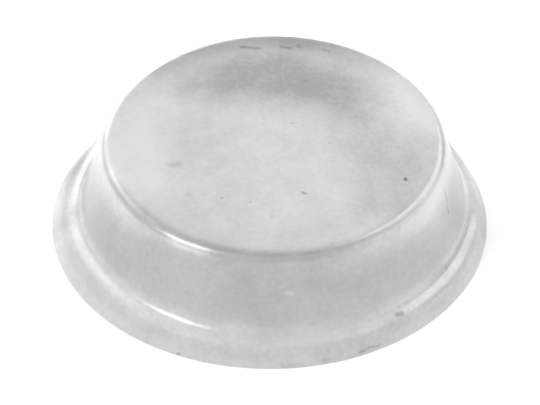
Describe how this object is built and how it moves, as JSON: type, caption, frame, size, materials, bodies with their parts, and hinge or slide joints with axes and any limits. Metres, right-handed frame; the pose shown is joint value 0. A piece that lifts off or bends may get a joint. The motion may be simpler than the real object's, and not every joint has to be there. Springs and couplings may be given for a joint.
{
  "type": "cabinet door bumper",
  "caption": "Low round milky-clear stick-on bumper pad with a flat foot, a thin flange, a leaning wall and a flat top.",
  "frame": {"origin": "middle of the round flange, on the flat stick-on foot", "axes": "+Z points away from the door, from the foot to the contact face; +X is the way the body is set off the flange's middle; -Y faces the viewer in the picture"},
  "size_m": [0.0126, 0.0126, 0.0031],
  "materials": {
    "milky_clear": "gloss"
  },
  "bodies": {
    "root": {"bumper_body": "milky_clear"}
  },
  "joints": []
}
